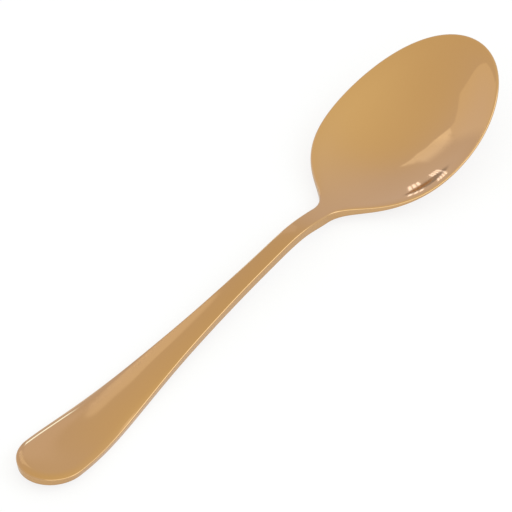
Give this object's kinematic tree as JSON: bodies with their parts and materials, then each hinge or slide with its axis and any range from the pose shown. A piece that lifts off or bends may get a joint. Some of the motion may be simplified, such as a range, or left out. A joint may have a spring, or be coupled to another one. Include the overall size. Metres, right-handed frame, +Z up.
{
  "type": "dessert spoon",
  "caption": "Dessert spoon with an oval dished bowl, a narrow neck and a handle that widens to a rounded end, in polished gold-coloured steel.",
  "frame": {"origin": "on the table under the middle of the spoon's length, on its plane of symmetry", "axes": "+X from the handle's end to the bowl's tip, +Y to the left seen from the handle, +Z up out of the bowl"},
  "size_m": [0.1854, 0.0412, 0.0179],
  "materials": {
    "polished_gold": "polished"
  },
  "bodies": {
    "root": {"bowl": "polished_gold", "neck": "polished_gold", "handle": "polished_gold"}
  },
  "joints": []
}
